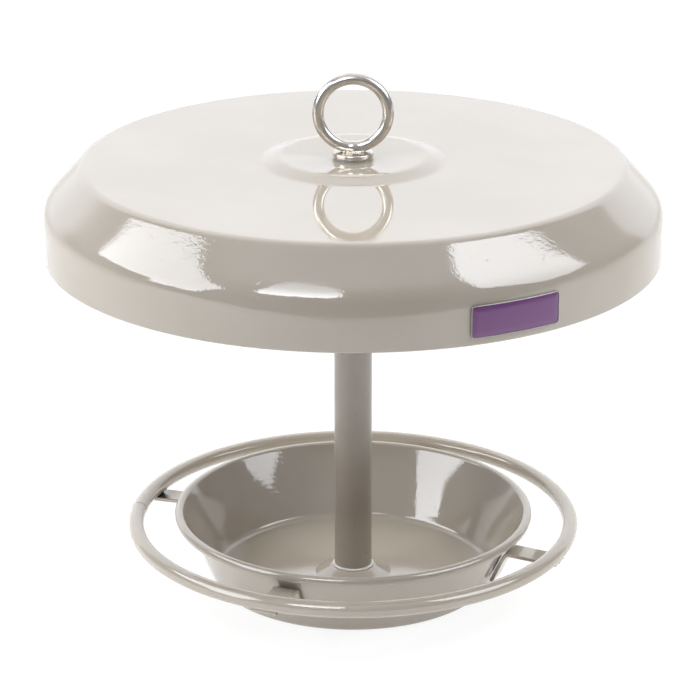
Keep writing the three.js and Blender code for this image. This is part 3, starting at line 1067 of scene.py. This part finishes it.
def make_world():
    """A white surround for the camera. Gloss and glass see a bright sweep behind the feeder, up to
    well overhead, and dimmer sides, front and ceiling. Everything else gets a plain fill, stronger
    from the sweep."""
    world = bpy.data.worlds.new("studio")
    world.use_nodes = True
    bpy.context.scene.world = world
    n = Nodes(world.node_tree)
    direction = n.node("ShaderNodeTexCoord", {}, {}, "Generated")
    x, y, up = (n.axis(direction, name) for name in "XYZ")
    azimuth = n.node("ShaderNodeMath", {"operation": "ARCTAN2"}, {0: x, 1: y})
    left_end = n.ramp(azimuth, *np.radians(SWEEP_LEFT))
    right_end = n.ramp(azimuth, *np.radians(SWEEP_RIGHT), 1.0, 0.0)
    top_end = n.ramp(up, *SWEEP_TOP, 1.0, 0.0)
    sweep = left_end * right_end * top_end
    low = n.ramp(up, *HORIZON_TOP, 1.0, 0.0)
    overhead = n.ramp(up, *CEILING_START)
    surround = low * HORIZON + (1 - low - overhead) * AROUND + overhead * CEILING
    mirrored = sweep * n.ramp(up, *SWEEP_CLIMB, BACK_LOW, BACK_HIGH) + (1 - sweep) * surround
    camera_ray, glossy, through = (
        n.node("ShaderNodeLightPath", {}, {}, f"Is {kind} Ray")
        for kind in ("Camera", "Glossy", "Transmission"))
    shiny = glossy + (1 - glossy) * through
    fill = n.ramp(up, *AMBIENT_CLIMB, AMBIENT_LOW, AMBIENT_HIGH) + BACK_FILL * sweep
    strength = camera_ray + (1 - camera_ray) * (shiny * mirrored + (1 - shiny) * fill)
    tone = n.mix(shiny, WHITE, SWEEP_COLOUR)
    shader = n.node("ShaderNodeBackground", {}, {"Color": tone, "Strength": strength})
    n.node("ShaderNodeOutputWorld", {}, {"Surface": shader})


def grey(level):
    """A grey of this level, as the colour that shaders take."""
    return (level, level, level, 1)


def make_floor():
    """A wide white sheet under the feeder, which ends a little way in front of it. The camera sees
    it as white with a faint shadow. For everything else it is white paper, a little brighter near
    the feeder and behind it."""
    mesh = bpy.data.meshes.new("floor")
    corners = [(-FLOOR_REACH, FLOOR_FRONT, 0), (FLOOR_REACH, FLOOR_FRONT, 0),
               (FLOOR_REACH, FLOOR_REACH, 0), (-FLOOR_REACH, FLOOR_REACH, 0)]
    mesh.from_pydata(corners, [], [(0, 1, 2, 3)])
    material, n = new_finish("white_floor")
    camera_ray = n.node("ShaderNodeLightPath", {}, {}, "Is Camera Ray")
    place = n.place()
    near = n.ramp(n.length(place), *GLOW_AWAY, FLOOR_NEAR, FLOOR_FAR)
    behind = n.ramp(n.axis(place, "Y"), *GLOW_BEHIND, 0.0, FLOOR_BACK)
    albedo = n.mix(camera_ray, grey(PAPER), grey(PAPER_SEEN))
    paper = n.node("ShaderNodeBsdfDiffuse", {}, {"Color": albedo})
    strength = camera_ray * FLOOR_SEEN + (1 - camera_ray) * (near + behind)
    white = n.node("ShaderNodeEmission", {}, {"Color": WHITE, "Strength": strength})
    both = n.node("ShaderNodeAddShader", {}, {0: paper, 1: white})
    n.node("ShaderNodeOutputMaterial", {}, {"Surface": both})
    mesh.materials.append(material)
    floor = bpy.data.objects.new("floor", mesh)
    bpy.context.scene.collection.objects.link(floor)


make_world()
make_floor()
soft_panel("left_softbox", LEFT_PLACE, LEFT_CORNERS, LEFT_LEVELS)
soft_panel("right_softbox", RIGHT_PLACE, RIGHT_CORNERS, RIGHT_LEVELS)
front_lamp = soft_panel("front_lamp", FRONT_PLACE, FRONT_CORNERS, FRONT_LEVELS)
front_lamp.visible_diffuse = False

# Camera, fitted to the outline in the photograph, in metres
CAMERA_RISE = np.radians(20.05)
CAMERA_DISTANCE = 1.5504
AIM_HEIGHT = 0.128
LENS = 151.4
SENSOR_WIDTH = 36
AXIS_SHIFT = -0.0045

camera_data = bpy.data.cameras.new("camera")
camera_data.lens = LENS
camera_data.sensor_width = SENSOR_WIDTH
camera_data.shift_x = AXIS_SHIFT
camera = bpy.data.objects.new("camera", camera_data)
camera_back = Vector((0, -np.cos(CAMERA_RISE), np.sin(CAMERA_RISE)))
camera.location = Vector((0, 0, AIM_HEIGHT)) + CAMERA_DISTANCE * camera_back
camera.rotation_mode = "QUATERNION"
camera.rotation_quaternion = (-camera_back).to_track_quat("-Z", "Y")
bpy.context.scene.collection.objects.link(camera)
bpy.context.scene.camera = camera
bpy.context.scene.view_settings.view_transform = "Standard"
